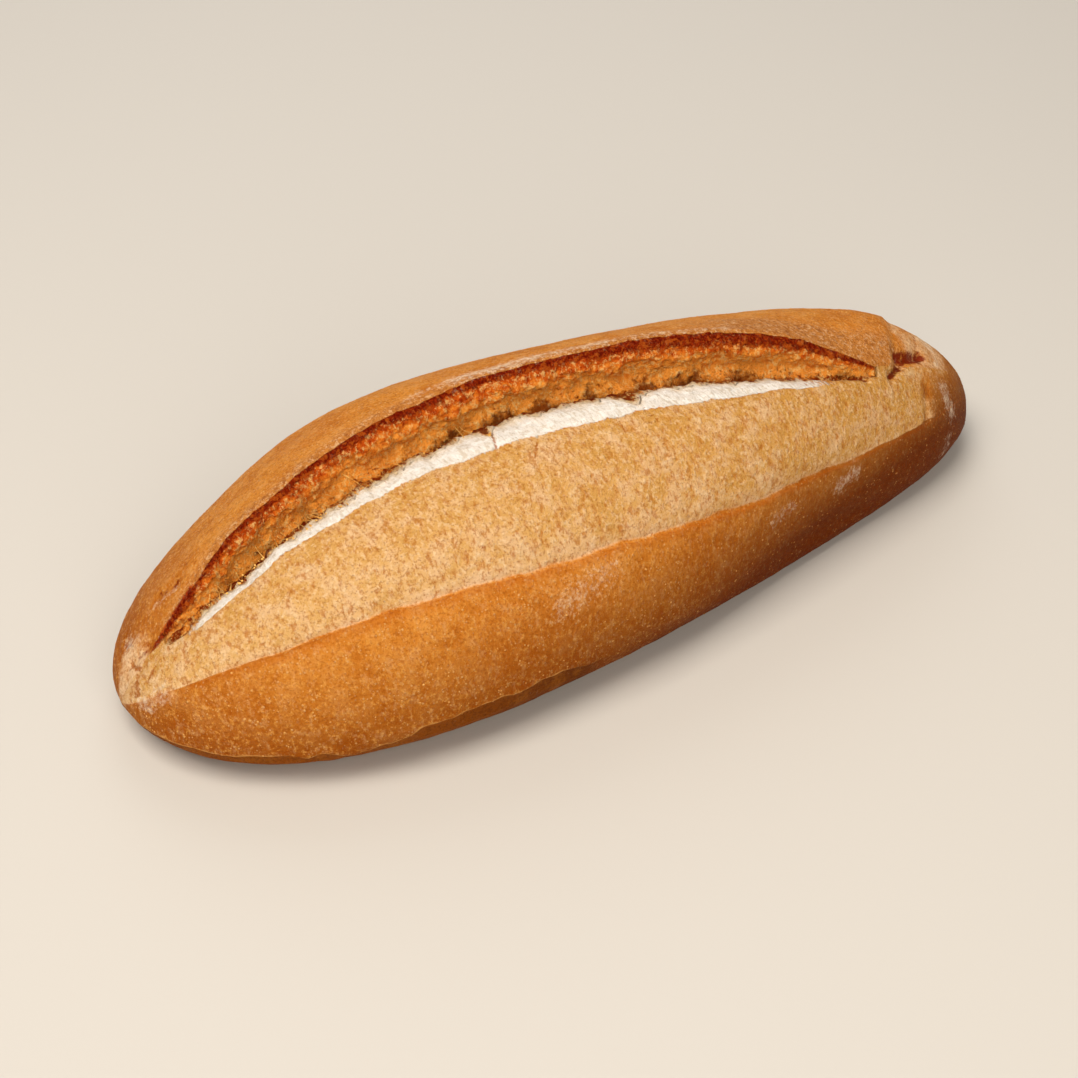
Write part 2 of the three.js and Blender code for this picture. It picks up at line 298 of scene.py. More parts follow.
# Each crease: start and end as station and angle, then width and depth in millimetres.
CREASES = [
    ((0.723, 62), (0.8, 64), 2.2, 3.2),  # pocket beyond the end of the flap
    ((0.67, 52), (0.718, 58), 1.5, 2),  # crack from the flap to the pocket
    ((0.545, 58), (0.596, 53), 1.3, 1.6),  # notch under the end of the lip
    ((0.75, 26), (0.772, 45), 1.6, 0.7),  # end of the bloom
    ((-0.846, 101), (-0.875, 106), 1.6, 1.3),  # fold behind the blunt end of the lip
    ((-0.955, 120), (-0.948, 112), 2, 1.3),  # pinch at the blunt end
    ((-0.934, 86), (-0.968, 94), 1.5, 1.2),  # crease from the lip to the blunt tip
]


def relief(u, angle):
    lift = LUMP * waver(u + angle / 140, 3, 5) * np.cos(np.radians(angle * 2.3) + 4 * u)
    behind_lip = ramp(-LIP_BLUR, LIP_BLUR, angle - slash_lines(u)[3])
    slanted = u - FLAP_END["slant"] * (angle - FLAP_END["angle"])
    rise = ramp(FLAP_END["start"], FLAP_END["at"], slanted)
    step = 1 - ramp(FLAP_END["at"], FLAP_END["at"] + FLAP_END["run"], slanted)
    lift = lift + FLAP_END["lift"] * behind_lip * rise * step
    for (station, middle), along, across, height in SWELLS:
        far_along = (u - station) * DRAWN_LENGTH / 2 / along
        far_across = np.radians(angle - middle) * half_width(station) / across
        lift = lift + height * np.exp(-(far_along**2) - far_across**2)
    for start, end, width, depth in CREASES:
        lift = lift - depth * near(u, angle, start, end, width)
    return lift * end_fade(u)


print("swells:", len(SWELLS), "and creases:", len(CREASES))

# %% Sides below the belly
LEDGE_HIGH, LEDGE_LOW = 0.93, 0.6  # height of the torn ledge against the belly
LEDGE_RAGGED = 0.04  # how far that height wavers
LEDGE_CLOSES = (-0.34, -0.05)  # stations over which the ledge closes
LEDGE_STEP = 1.1  # how far the skirt is drawn in under the ledge, in millimetres

# Flakes of the front crust that hang over the skirt: station, half length in mm, fall against the belly.
FLAKES = [(-0.765, 4, 0.17), (-0.69, 9, 0.33), (-0.62, 8, 0.15)]


def lower(u, side, turn, inset):
    """Points below the belly: turn is 0 at the belly and 90 at the base, inset draws them in."""
    turn = turn + 0 * u
    c, s = np.cos(np.radians(turn)), np.sin(np.radians(turn))
    x = DRAWN_LENGTH / 2 * u * blend(BASE_LENGTH_SHARE, 1, c)
    swollen = relief(u, -turn if side < 0 else 180 + turn) * c
    y = side * (half_width(u) * blend(BASE_WIDTH_SHARE, 1, c) + swollen)
    shrink = 1 - inset / np.maximum(np.hypot(x, y), 1)
    return np.stack([x * shrink, y * shrink, belly(u) * (1 - s)], -1)


def ledge_share(u, side):
    """Height of the torn ledge against the belly line."""
    share = blend(LEDGE_HIGH, LEDGE_LOW, ramp(*LEDGE_CLOSES, u))
    share = share + LEDGE_RAGGED * end_fade(u) * waver(u, 12 + side, 26)
    for at, half, fall in FLAKES if side < 0 else ():
        share = share - fall * np.maximum(0, 1 - np.abs(u - at) * DRAWN_LENGTH / 2 / half)
    return share


def flank(u, side, skirt_steps, wall_steps):
    """Side below the belly from the base up: skirt, torn ledge, rounded wall. Also the turn of each row."""
    torn = np.degrees(np.arcsin(1 - ledge_share(u, side)))
    step = LEDGE_STEP * end_fade(u) * (1 - ramp(*LEDGE_CLOSES, u))
    shares = np.append(np.linspace(0, 0.8, skirt_steps), 0.97)
    turns = [blend(90, torn, k) for k in shares]
    turns += [torn * (1 - k / wall_steps) for k in range(wall_steps)]
    insets = [step * k for k in shares] + [0 * u] * wall_steps
    rows = [lower(u, side, turn, inset) for turn, inset in zip(turns, insets)]
    return np.array(rows), np.array(turns)


print("hanging flakes:", len(FLAKES))

# %% [markdown]
# ## The fine skin
# The skin is a grid: stations along the loaf by points round each section. The points crowd in the slash,
# where crags and crumb show, and thin out on the back. Each point also gets a few numbers that say what it
# is made of, such as bloom, crumb or torn face. Geometry Nodes and the materials read these later.

# %% Sample the sections
STATIONS = 450
TIP_CROWDING = 0.3  # 0 spaces the stations evenly, 1 crowds them most towards the tips
FRONT_STEPS, BACK_STEPS = 26, 18
SLASH_STEPS = (4, 6, 12, 16, 12, 8, 8, 8, 9, 10, 10, 9, 9, 9)
FLAP_STEPS = (6, 6, 6)
SKIRT_STEPS, WALL_STEPS = 6, 6  # rows of both flanks, the same so that the tips close

# Tears and folds too small for the solid: start and end as station and angle, width and depth in mm. The
# material darkens along them too: partly browned crust, partly painted shade in the slits.
TEARS = [
    ((-0.168, 71), (-0.2, 65), 0.5, 0.6),  # cracks at the upper edge of the bloom
    ((-0.003, 66), (-0.005, 62), 0.5, 0.6),
    ((0.067, 64), (0.068, 61), 0.5, 0.5),
    ((-0.229, 82), (-0.252, 73), 0.5, 0.7),  # folds of the crumb strip
    ((0.06, 68), (0.061, 64), 0.5, 0.6),
    ((-0.974, 74), (-0.982, 58), 0.9, 0.6),  # browned furrows at the blunt end
    ((-0.956, 67), (-0.943, 71), 0.6, 0.6),
    ((-0.965, 95), (-0.96, 81), 0.8, 0.6),
    ((-0.952, 150), (-0.975, 123), 0.9, 0.6),
    ((0.829, 82), (0.801, 70), 0.9, 0.5),  # and at the slim end
    ((0.782, 45), (0.775, 39), 1.2, 0.4),
]


def marks(lines, u, angle):
    """Strongest of several marks on the crust, as depth in millimetres."""
    return np.max([depth * near(u, angle, start, end, width) for start, end, width, depth in lines], axis=0)


even = np.linspace(-1, 1, STATIONS + 1)
u = blend(even, np.sin(even * np.pi / 2), TIP_CROWDING)
slash, slash_place = smooth_run(slash_profile(u), SLASH_STEPS)
flap, flap_place = smooth_run(flap_profile(u), FLAP_STEPS)
rim, run_out = slash[0, 0], flap[-1, 0]
front_angle = np.array([rim * k / FRONT_STEPS for k in range(FRONT_STEPS)])
back_angle = np.array([blend(run_out, 180, k / BACK_STEPS) for k in range(1, BACK_STEPS + 1)])
angle = np.concatenate([front_angle, slash[:, 0], flap[1:, 0], back_angle])
lift = np.concatenate([0 * front_angle, slash[:, 1], flap[1:, 1], 0 * back_angle])
dome = upper(u, angle, lift + relief(u, angle) - marks(TEARS, u, angle) * end_fade(u))

front_flank, front_turn = flank(u, -1, SKIRT_STEPS, WALL_STEPS)
back_flank, back_turn = flank(u, 1, SKIRT_STEPS, WALL_STEPS)
grid = np.concatenate([front_flank, dome, back_flank[::-1]])
around = np.concatenate([-front_turn, angle, 180 + back_turn[::-1]])
middle = (grid[..., 1].min() + grid[..., 1].max()) / 2
grid[..., 1] -= middle  # the origin of the frame is under the middle of the box
print("moved across by", round(float(middle), 2), "mm")
print("grid:", grid.shape[0], "round by", grid.shape[1], "along")

# %% Kinds of surface
# Each kind of surface is a number of about 0 to 1 at every point of the grid.
KINDS = "bloom bloom_up crumb crumb_deep torn torn_up pocket burn flap rim skirt ledge"


def between(run, value):
    """1 between the two ends of a run, 0 outside it."""
    return ramp(*run[0], value) * (1 - ramp(*run[1], value))


def along(run):
    """The same for a run of stations."""
    return between(run, u)


on_front = slice(len(front_flank), len(front_flank) + FRONT_STEPS)
on_slash = slice(on_front.stop, on_front.stop + len(slash))
on_flap = slice(on_slash.stop, on_slash.stop + len(flap) - 1)
on_skirt = slice(0, SKIRT_STEPS + 1)
place = slash_place[:, None]  # 0 at the rim, 5 at the end of the bloom, 14 at the lip
behind = flap_place[1:, None]  # 0 at the lip, 3 where the flap runs out
stuff = {name: np.zeros(grid.shape[:2]) for name in KINDS.split()}
print("kinds of surface:", ", ".join(stuff))

# %% Crumb strip
# A run holds the stations over which a surface starts and those over which it ends.
CRUMB_RUN = ((-0.9, -0.82), (0.36, 0.58))
STRIP_WIDENS = (-0.5, -0.25)  # the crumb strip is narrow towards the blunt end
NOTCHES = ((0.055, 4, 1.3), (-0.238, 2, 0.6))  # where the strip tore: station, half length in mm, drop
CRUMB_STARTS = (5.1, 5.4)  # places across the slash
CRUMB_TOP, CRUMB_WIDER, CRUMB_RAGGED = 6.7, 0.8, 0.35  # upper edge of the strip, its widening, its waver
CRUMB_FADES, CRUMB_GOLDEN = (-0.7, 1.3), (-0.9, 0.7)  # places counted from that edge

crumb_top = CRUMB_TOP + CRUMB_WIDER * ramp(*STRIP_WIDENS, u) + CRUMB_RAGGED * waver(u, 13, 60)
for at, half, drop in NOTCHES:
    crumb_top = crumb_top - drop * np.exp(-(((u - at) * DRAWN_LENGTH / 2 / half) ** 2))
above_strip = place - crumb_top
crumb_fade = 1 - ramp(*CRUMB_FADES, above_strip)
stuff["crumb"][on_slash] = ramp(*CRUMB_STARTS, place) * crumb_fade * along(CRUMB_RUN)
stuff["crumb_deep"][on_slash] = ramp(*CRUMB_GOLDEN, above_strip)
print("share of the grid that is crumb:", round(float(stuff["crumb"].mean()), 3))

# %% Torn face, painted shade of the pockets, and burnt edge
TORN_RUN = ((-0.93, -0.88), (0.6, 0.66))
TORN_STARTS = (-0.6, 0.2)  # places counted from the upper edge of the strip
FACE_FOOT = 8.2  # the colours of the torn face run from this place up to the lip
# Painted shade in the pockets behind the crumb strip: a faint band between them, stronger in them.
POCKET_SHADE_BAND = ((0, 0.6), (1.5, 3.0))  # places counted from the upper edge of the strip
POCKET_SHADE_LEAST, POCKET_SHADE_MOST = 0.5, 1.1  # strength between the pockets and in them
POCKET_SHADE_FULL = 2.5  # depth in millimetres from which a pocket is at its strongest
BURN_RUN = ((-0.945, -0.915), (0.6, 0.65))
BURN_FOOT, BURN_DROP, BURN_FADE = 12.0, 0.6, 1.6  # foot of the burnt edge, its drop, its soft border
BURN_DROPS = (-0.1, 0.3)  # stations over which it drops
BURNT_FOLD = ((-0.925, 83), (-0.84, 88.5), 1.3, 1.2)  # the lip's blunt end, burnt as deep as it folds
TORN_OVER, BURN_OVER = (0, 0.2), (0, 0.3)  # places behind the lip over which both end

stuff["torn"][on_slash] = ramp(*TORN_STARTS, above_strip) * along(TORN_RUN)
stuff["torn"][on_flap] = (1 - ramp(*TORN_OVER, behind)) * along(TORN_RUN)
stuff["torn_up"][on_slash] = np.clip((place - FACE_FOOT) / (len(SLASH_STEPS) - FACE_FOOT), 0, 1) + 0 * u
stuff["torn_up"][on_flap] = 1
pocket_shade_strength = blend(POCKET_SHADE_LEAST, POCKET_SHADE_MOST, np.clip(pockets(u) / POCKET_SHADE_FULL, 0, 1)) * opening(u)
stuff["pocket"][on_slash] = between(POCKET_SHADE_BAND, above_strip) * pocket_shade_strength
burn_foot = BURN_FOOT - BURN_DROP * ramp(*BURN_DROPS, u)
stuff["burn"][on_slash] = ramp(0, BURN_FADE, place - burn_foot) * along(BURN_RUN)
stuff["burn"][on_flap] = (1 - ramp(*BURN_OVER, behind)) * along(BURN_RUN)
stuff["burn"] = np.maximum(stuff["burn"], marks([BURNT_FOLD], u, around))
print("share of the grid that is torn:", round(float(stuff["torn"].mean()), 3))

# %% Flap, bloom and rim
FLAP_FADES, MOTTLE_FADES = (0.3, 2.2), (2.1, 3.0)  # places behind the lip
MOTTLED_RUN = ((0.15, 0.45), (0.7, 0.76))  # the mottled end of the flap
BLOOM_STARTS, BLOOM_TOP = (0.2, 1.9), 5.2  # places across the slash
BLOOM_ENDS = (0.66, 0.86)
BLUNT_NOSE = (-0.89, -0.96)  # the bloom's tan spreads over the blunt nose from here on
SLIM_NOSE = ((0.72, 0.78), (0.86, 0.93))  # and over part of the slim end
# Angles over which that tan starts and ends, and how strong it is.
BLUNT_TAN, BLUNT_TAN_MOST = ((35, 65), (85, 135)), 0.75
SLIM_TAN, SLIM_TAN_MOST = ((40, 60), (80, 115)), 0.6
# Darker line under the rim's step, on the slash and down the front crust: painted shade.
RIM_SHADE_AT, RIM_SHADE_WIDTH = 0.1, 0.5  # places across the slash
RIM_SHADE_BELOW = 0.07  # reach of the rim's tint on the front crust, against the rim's angle

near_lip = (1 - ramp(*FLAP_FADES, behind)) * along(TORN_RUN)
mottled_end = (1 - ramp(*MOTTLE_FADES, behind)) * along(MOTTLED_RUN)
stuff["flap"][on_flap] = np.maximum(near_lip, mottled_end)
nose = ramp(*BLUNT_NOSE, u)
bare = np.maximum(stuff["crumb"], stuff["torn"])
bloom_open = 1 - ramp(*BLOOM_ENDS, u)
stuff["bloom"][on_slash] = ramp(*BLOOM_STARTS, place) * bloom_open
stuff["bloom"] *= blend(1, ramp(*BLUNT_TAN[0], around), nose)
blunt_tan = BLUNT_TAN_MOST * nose * between(BLUNT_TAN, around)
slim_tan = SLIM_TAN_MOST * along(SLIM_NOSE) * between(SLIM_TAN, around)
stuff["bloom"] = np.maximum(np.maximum(stuff["bloom"], blunt_tan), slim_tan) * (1 - bare)
stuff["bloom_up"][on_slash] = np.clip(place / BLOOM_TOP, 0, 1) + 0 * u
stuff["rim"][on_slash] = np.exp(-(((place - RIM_SHADE_AT) / RIM_SHADE_WIDTH) ** 2)) * bloom_open * (1 - nose)
stuff["rim"][on_front] = np.exp(-(((1 - front_angle / rim) / RIM_SHADE_BELOW) ** 2)) * (1 - nose)
print("share of the grid that is bloom:", round(float(stuff["bloom"].mean()), 3))

# %% Skirt, ledge and creases
LEDGE_LINE, LEDGE_UNDER = 0.6, -0.05  # reach of the ledge's pale edge above and below it, in millimetres
# Creases are darkened as painted shade; tears partly as browned crust, partly as painted shade.
CREASE_SHADE_FULL, TEAR_FULL = 2, 0.6  # depths in millimetres from which creases and tears are at their strongest

still_open = 1 - ramp(*LEDGE_CLOSES, u)
stuff["skirt"][on_skirt] = still_open
above_edge = grid[: on_front.stop, :, 2] - belly(u) * ledge_share(u, -1)
pale_edge = np.exp(-((above_edge / LEDGE_LINE) ** 2)) * (above_edge > LEDGE_UNDER)
stuff["ledge"][: on_front.stop] = pale_edge * still_open
stuff["crease"] = np.clip(marks(CREASES, u, around) / CREASE_SHADE_FULL, 0, 1)
stuff["tear_browning_and_shade"] = np.clip(marks(TEARS, u, around) / TEAR_FULL, 0, 1)
print("share of the grid that is skirt:", round(float(stuff["skirt"].mean()), 3))

# %% Pale marks, and the crust that is left
# Pale marks on the crust: start, end, width in millimetres, strength.
PALE_MARKS = [
    ((-0.25, 21), (-0.15, 25), 6, 0.45),  # front crust near mid-length
    ((0.27, 13), (0.32, 15), 3, 0.5),  # front crust towards the slim end
    ((0.46, 13), (0.51, 16), 3, 0.6),
    ((-0.34, 102), (-0.2, 101), 2.4, 0.5),  # band behind the lip
    ((-0.24, 101), (-0.06, 99.5), 3.4, 0.85),
    ((-0.08, 99.5), (0.08, 96), 3.0, 0.7),
    ((0.06, 96.5), (0.34, 87), 2.4, 0.5),
    ((-0.854, 99), (-0.888, 104), 1.6, 0.7),  # blunt end
    ((-0.954, 54), (-0.953, 44), 2.2, 0.7),
    ((-0.978, 52), (-0.975, 37), 1.8, 0.7),
    ((-0.955, 118), (-0.948, 112), 2.0, 0.7),
    ((0.836, 41), (0.852, 24), 3.6, 0.7),  # slim end
    ((0.832, 7), (0.82, -9), 3.0, 0.5),
    ((0.868, 88), (0.854, 60), 3.0, 0.6),
]
stuff["pale_mark"] = marks(PALE_MARKS, u, around)

BASE_FADE = (0.5, 3)  # heights in millimetres over which the grain starts, so that the base stays flat
covered = sum(stuff[name] for name in ("bloom", "crumb", "torn", "skirt", "crease"))
stuff["whole"] = ramp(*BASE_FADE, grid[..., 2])
stuff["crust"] = np.clip(1 - covered, 0, 1) * stuff["whole"]
GRAIN_ONLY = ("whole", "crust")  # numbers that Geometry Nodes reads and the material doesn't
print("share of the grid that is crust:", round(float(stuff["crust"].mean()), 3))

# %% Turn the grid into one closed mesh
WELD = 1e-6  # metres within which the points at each tip become one


def skin_mesh(name, points, numbers):
    """Mesh from the grid, closed by a flat base between its two lower edges."""
    rows, columns = points.shape[:2]
    index = np.arange(rows * columns).reshape(rows, columns)
    rings = np.concatenate([index, index[:1]])  # the last strip closes the base
    a, b = rings[:-1, :-1], rings[:-1, 1:]
    d, c = rings[1:, :-1], rings[1:, 1:]
    quads = np.stack([a, b, c, d], -1).reshape(-1, 4)
    mesh = bpy.data.meshes.new(name)
    mesh.from_pydata(points.reshape(-1, 3) * MM, [], quads)
    for key, values in numbers.items():
        layer = mesh.attributes.new(key, "FLOAT", "POINT")
        layer.data.foreach_set("value", values.astype(np.float32).ravel())
    return mesh


def add(name, data):
    """New object with this data, in the scene."""
    piece = bpy.data.objects.new(name, data)
    bpy.context.scene.collection.objects.link(piece)
    return piece


loaf = add("loaf_skin", skin_mesh("loaf_skin", grid, stuff))
weld = loaf.modifiers.new("Weld tips", "WELD")
weld.merge_threshold = WELD
print("skin:", len(loaf.data.polygons), "faces")

# %% [markdown]
# ## Helpers for node trees
# Materials and Geometry Nodes are both trees of nodes. One function adds a node, sets its options and fills
# its inputs: a plain value is set on the socket, and another node's output is linked to it. Another turns a
# colour given as sRGB hex into the linear values that the shaders need. Two more start a material and push
# a value about by noise, because several trees do so.


# %% Node and colour helpers
def node(tree, kind, inputs=None, **settings):
    made = tree.nodes.new(kind)
    for name, value in settings.items():
        setattr(made, name, value)
    for key, value in (inputs or {}).items():
        if isinstance(value, bpy.types.NodeSocket):
            tree.links.new(value, made.inputs[key])
        else:
            made.inputs[key].default_value = value
    return made


def linear(hex_colour):
    channels = [int(hex_colour[k : k + 2], 16) / 255 for k in (0, 2, 4)]
    return (*[c / 12.92 if c <= 0.04045 else ((c + 0.055) / 1.055) ** 2.4 for c in channels], 1.0)


def per_metre(size_mm):
    """Scale of a pattern whose features are this many millimetres across."""
    return 1 / (size_mm * MM)


def push(tree, noise, amount, value):
    """A value pushed up and down by noise."""
    centred = node(tree, "ShaderNodeMath", {0: noise, 1: 0.5}, operation="SUBTRACT").outputs[0]
    inputs = {0: centred, 1: amount, 2: value}
    return node(tree, "ShaderNodeMath", inputs, operation="MULTIPLY_ADD").outputs[0]


def new_material(name):
    """Empty material, its node tree and the place of each point in it."""
    material = bpy.data.materials.new(name)
    material.use_nodes = True
    tree = material.node_tree
    tree.nodes.clear()
    return material, tree, node(tree, "ShaderNodeTexCoord").outputs["Object"]


# %% [markdown]
# ## Materials
# A baked crust is dry starch and sugar browned by the oven: nearly matt and orange brown. It is darker
# low down and towards the slim end's front, partly from harder baking and partly as painted shade, and paler
# over tiny blisters, partly as painted glints. The bloom was covered by the flap for half the baking, so it
# is pale tan and grainy. Bare crumb is soft white starch. The torn face is golden, and its lip is burnt.
# Painted shade darkens the line under the rim, the creases and the pockets behind the crumb strip, and part
# of the skirt and the tears. The recess under the lip is painted brighter than its crumb, as painted light,
# and painted highlights fleck its crags.
# One material holds them all, because they grade into each other. The numbers stored on the skin choose
# between them, and noise makes the borders ragged.

# %% Noise of the bread
# Noise fields, each named for what it draws: size in millimetres, detail, roughness, stretch of the space.
NOISES = {
    "patch": (34, 2, 0.5, (1, 1, 1)),
    "mottle": (9, 8, 0.75, (1, 1, 1)),
    "grain": (2.2, 4, 0.65, (1, 1, 1)),
    "grit": (0.8, 3, 0.6, (1, 1, 1)),
    "fleck": (1.3, 5, 0.75, (1, 0.8, 0.8)),
    "pit": (1.5, 5, 0.75, (1, 0.55, 0.55)),
    "fibre": (0.9, 3, 0.6, (1, 0.3, 0.3)),
}
BLISTER_CELL = 1.0  # millimetres between painted blisters
BLISTER_CHANCE = 0.55  # share of the cells that have none
BLISTER_DISC, BLISTER_EDGE = 0.42, 0.14  # largest radius and soft edge, against the cell

# Where the crust gets darker, partly baked harder and partly painted shade of the lower front and the
# slim end: axis, and the drawn millimetres over which it grows.
DARKER_TOWARDS = {"low_down": ("Z", 46, 4), "slim_way": ("X", -110, 120), "forward": ("Y", 20, -30)}
print("noise fields:", len(NOISES))

# %% Edges and colours of the bread
# Ragged edges: noise that pushes a number about, how far, and the two values between which it is cut off.
EDGES = {
    "bloom": ("mottle", 1.8, 0.25, 0.75),
    "crumb": ("fibre", 1.6, 0.3, 0.7),
    "torn": ("grain", 0.5, 0.3, 0.7),
    "pocket": ("grain", 1.6, 0.4, 0.95),
    "burn": ("grain", 2.0, 0.35, 0.85),
    "flap": ("mottle", 1.2, 0.1, 0.8),
    "skirt": ("grain", 0.2, 0.3, 0.7),
    "ledge": ("mottle", 3.0, 0.5, 1.1),
    "crease": ("grain", 2.6, 0.4, 0.95),
    "tear_browning_and_shade": ("grit", 1.6, 0.45, 0.95),
    "pale_mark": ("fleck", 2.6, 0.25, 1.25),
}

# Each tone starts from one colour. Every layer then lays another colour over it, as strongly as its field
# lies between two values, up to a most.
TONES = {
    "crust": (
        "D28632",
        ("patch", 0.4, 0.6, 0.5, "C06C20"),
        ("mottle", 0.5, 0.6, 0.3, "E4AA60"),
        ("mottle", 0.49, 0.38, 0.5, "AA580E"),
        # darker low down: partly browner crust, partly painted shade
        ("low_down", 0.0, 1.0, 0.92, "863800"),
        ("fleck", 0.52, 0.6, 0.55, "DC9C48"),
        ("pit", 0.53, 0.61, 0.25, "E2B47A"),
        # pale blister discs: partly paler crust, partly painted glints
        ("blister", 0.0, 1.0, 0.5, "E6B87C"),
        # darker still low in front towards the slim end: partly baked harder, partly painted shade
        ("baked_and_shaded", 0.0, 0.5, 0.84, "561A00"),
        ("grit", 0.5, 0.64, 0.45, "8E3E06"),
        # darker line under the rim: painted shade under its step
        ("rim", 0.2, 1.0, 0.35, "AE500C"),
    ),
    "flap": (
        "BE7A3A",
        ("fleck", 0.51, 0.58, 0.7, "E0B88A"),
        ("pit", 0.52, 0.59, 0.75, "904A18"),
        ("grit", 0.53, 0.63, 0.5, "80380E"),
    ),
    "bloom": (
        "E0AA62",
        ("slim_way", 0.55, 0.15, 0.7, "EABC7C"),
        ("slim_way", 0.5, 1.0, 0.5, "CE9444"),
        ("bloom_up", 0.4, 1.0, 0.6, "D09646"),
        ("bloom_up", 0.5, 0.1, 0.35, "EECAB0"),
        ("mottle", 0.49, 0.6, 0.4, "EECEAC"),
        ("mottle", 0.49, 0.4, 0.5, "CC9442"),
        ("fleck", 0.5, 0.61, 0.55, "F4D6AA"),
        ("pit", 0.51, 0.61, 0.68, "BA6E26"),
        ("grit", 0.54, 0.65, 0.5, "A25616"),
    ),
    "crumb": (
        "ECE4DA",
        ("fibre", 0.48, 0.62, 0.5, "C4AE8E"),
        ("grain", 0.5, 0.6, 0.7, "FAF6F0"),
        ("crumb_deep", 0.0, 1.0, 0.85, "E8B868"),
    ),
    # the skirt: partly its own darker crust, partly painted shade under the ledge, more of it towards the
    # slim end
    "skirt": (
        "9A5212",
        ("slim_way", 0.05, 0.35, 0.85, "5A2804"),
        ("mottle", 0.5, 0.6, 0.5, "A4621E"),
        ("grit", 0.5, 0.6, 0.4, "481C02"),
    ),
    "burn": ("6A0E04", ("grit", 0.45, 0.6, 0.75, "A0320C"), ("grain", 0.51, 0.6, 0.7, "C65E1A")),
}

# The torn face from the pockets up to the lip, as places between 0 and 1 and colours. The dark foot is
# painted shade of the pockets, and the amber low on the face is brighter than the crumb's own colour:
# painted light in the shaded recess under the lip.
FACE_STOPS = [
    (0.0, "8A3208"),
    (0.14, "EA9036"),
    (0.34, "FAA040"),
    (0.55, "E67C26"),
    (0.74, "CC5414"),
    (0.92, "9C2C08"),
]
FACE_SHIFT = 1.2  # how far noise pushes these colours up and down the face
# the pale layer is partly threads of crumb, partly painted highlights on the crags
FACE_THREADS_AND_HIGHLIGHTS = ("fleck", 0.51, 0.6, 0.75, "FAC878")  # pale threads of crumb across it, as a layer
print("tones of the bread:", ", ".join(TONES))

# %% Coats, relief and gloss of the bread
# Kinds of surface laid over the crust, one after the other: number, most, tone or plain colour.
COATS = [
    ("flap", 0.85, "flap"),
    # the skirt's tone carries painted shade under the ledge
    ("skirt", 0.9, "skirt"),
    ("ledge", 0.6, "D39A54"),
    ("bloom", 1.0, "bloom"),
    ("torn", 1.0, "torn"),
    ("crumb", 1.0, "crumb"),
    # painted shade in the pockets behind the crumb strip
    ("pocket", 0.85, "6A1C02"),
    ("burn", 0.95, "burn"),
    # painted shade in the creases
    ("crease", 0.9, "720C02"),
    # darker along the tears and folds: partly browned crust, partly painted shade in the slits
    ("tear_browning_and_shade", 0.8, "A85C1C"),
    ("pale_mark", 0.7, "ECDAC2"),
]

# Fine relief in millimetres: field, the kind of surface it is on, height.
RELIEF = [
    ("grit", None, 0.4),
    ("mottle", None, 1.6),
    ("blister", None, 0.14),
    ("fleck", None, 0.5),
    ("fleck", "bloom", 0.4),
    ("pit", "bloom", -0.8),
    ("pit", "flap", -0.5),
    ("fibre", "crumb", 0.8),
    ("grain", "torn", 2.2),
    ("fleck", "torn", 1.0),
    ("grit", "torn", 0.5),
]
CRUST_ROUGHNESS, BLOOM_ROUGHNESS = 0.52, 0.75
CRUST_GLOSS, GLOSS_TINT = 0.03, "FFC080"
STARCH_IOR = 1.45
print("coats over the crust:", len(COATS))


# %% Baked bread
def darker_along(tree, place, name):
    """0 to 1 along an axis, growing to where the crust is darker: partly baked harder, partly painted shade.
    """
    axis, start, stop = DARKER_TOWARDS[name]
    axes = node(tree, "ShaderNodeSeparateXYZ", {0: place})
    inputs = {0: axes.outputs[axis], 1: start * MM, 2: stop * MM}
    return node(tree, "ShaderNodeMapRange", inputs).outputs[0]


def lay_over(tree, under, field, layer):
    """One colour laid over another, as strongly as a field lies between two values."""
    over, start, stop, most, hex_colour = layer
    inputs = {0: field[over], 1: start, 2: stop, 4: most}
    strength = node(tree, "ShaderNodeMapRange", inputs).outputs[0]
    inputs = {0: strength, 6: under, 7: linear(hex_colour)}
    return node(tree, "ShaderNodeMix", inputs, data_type="RGBA").outputs[2]


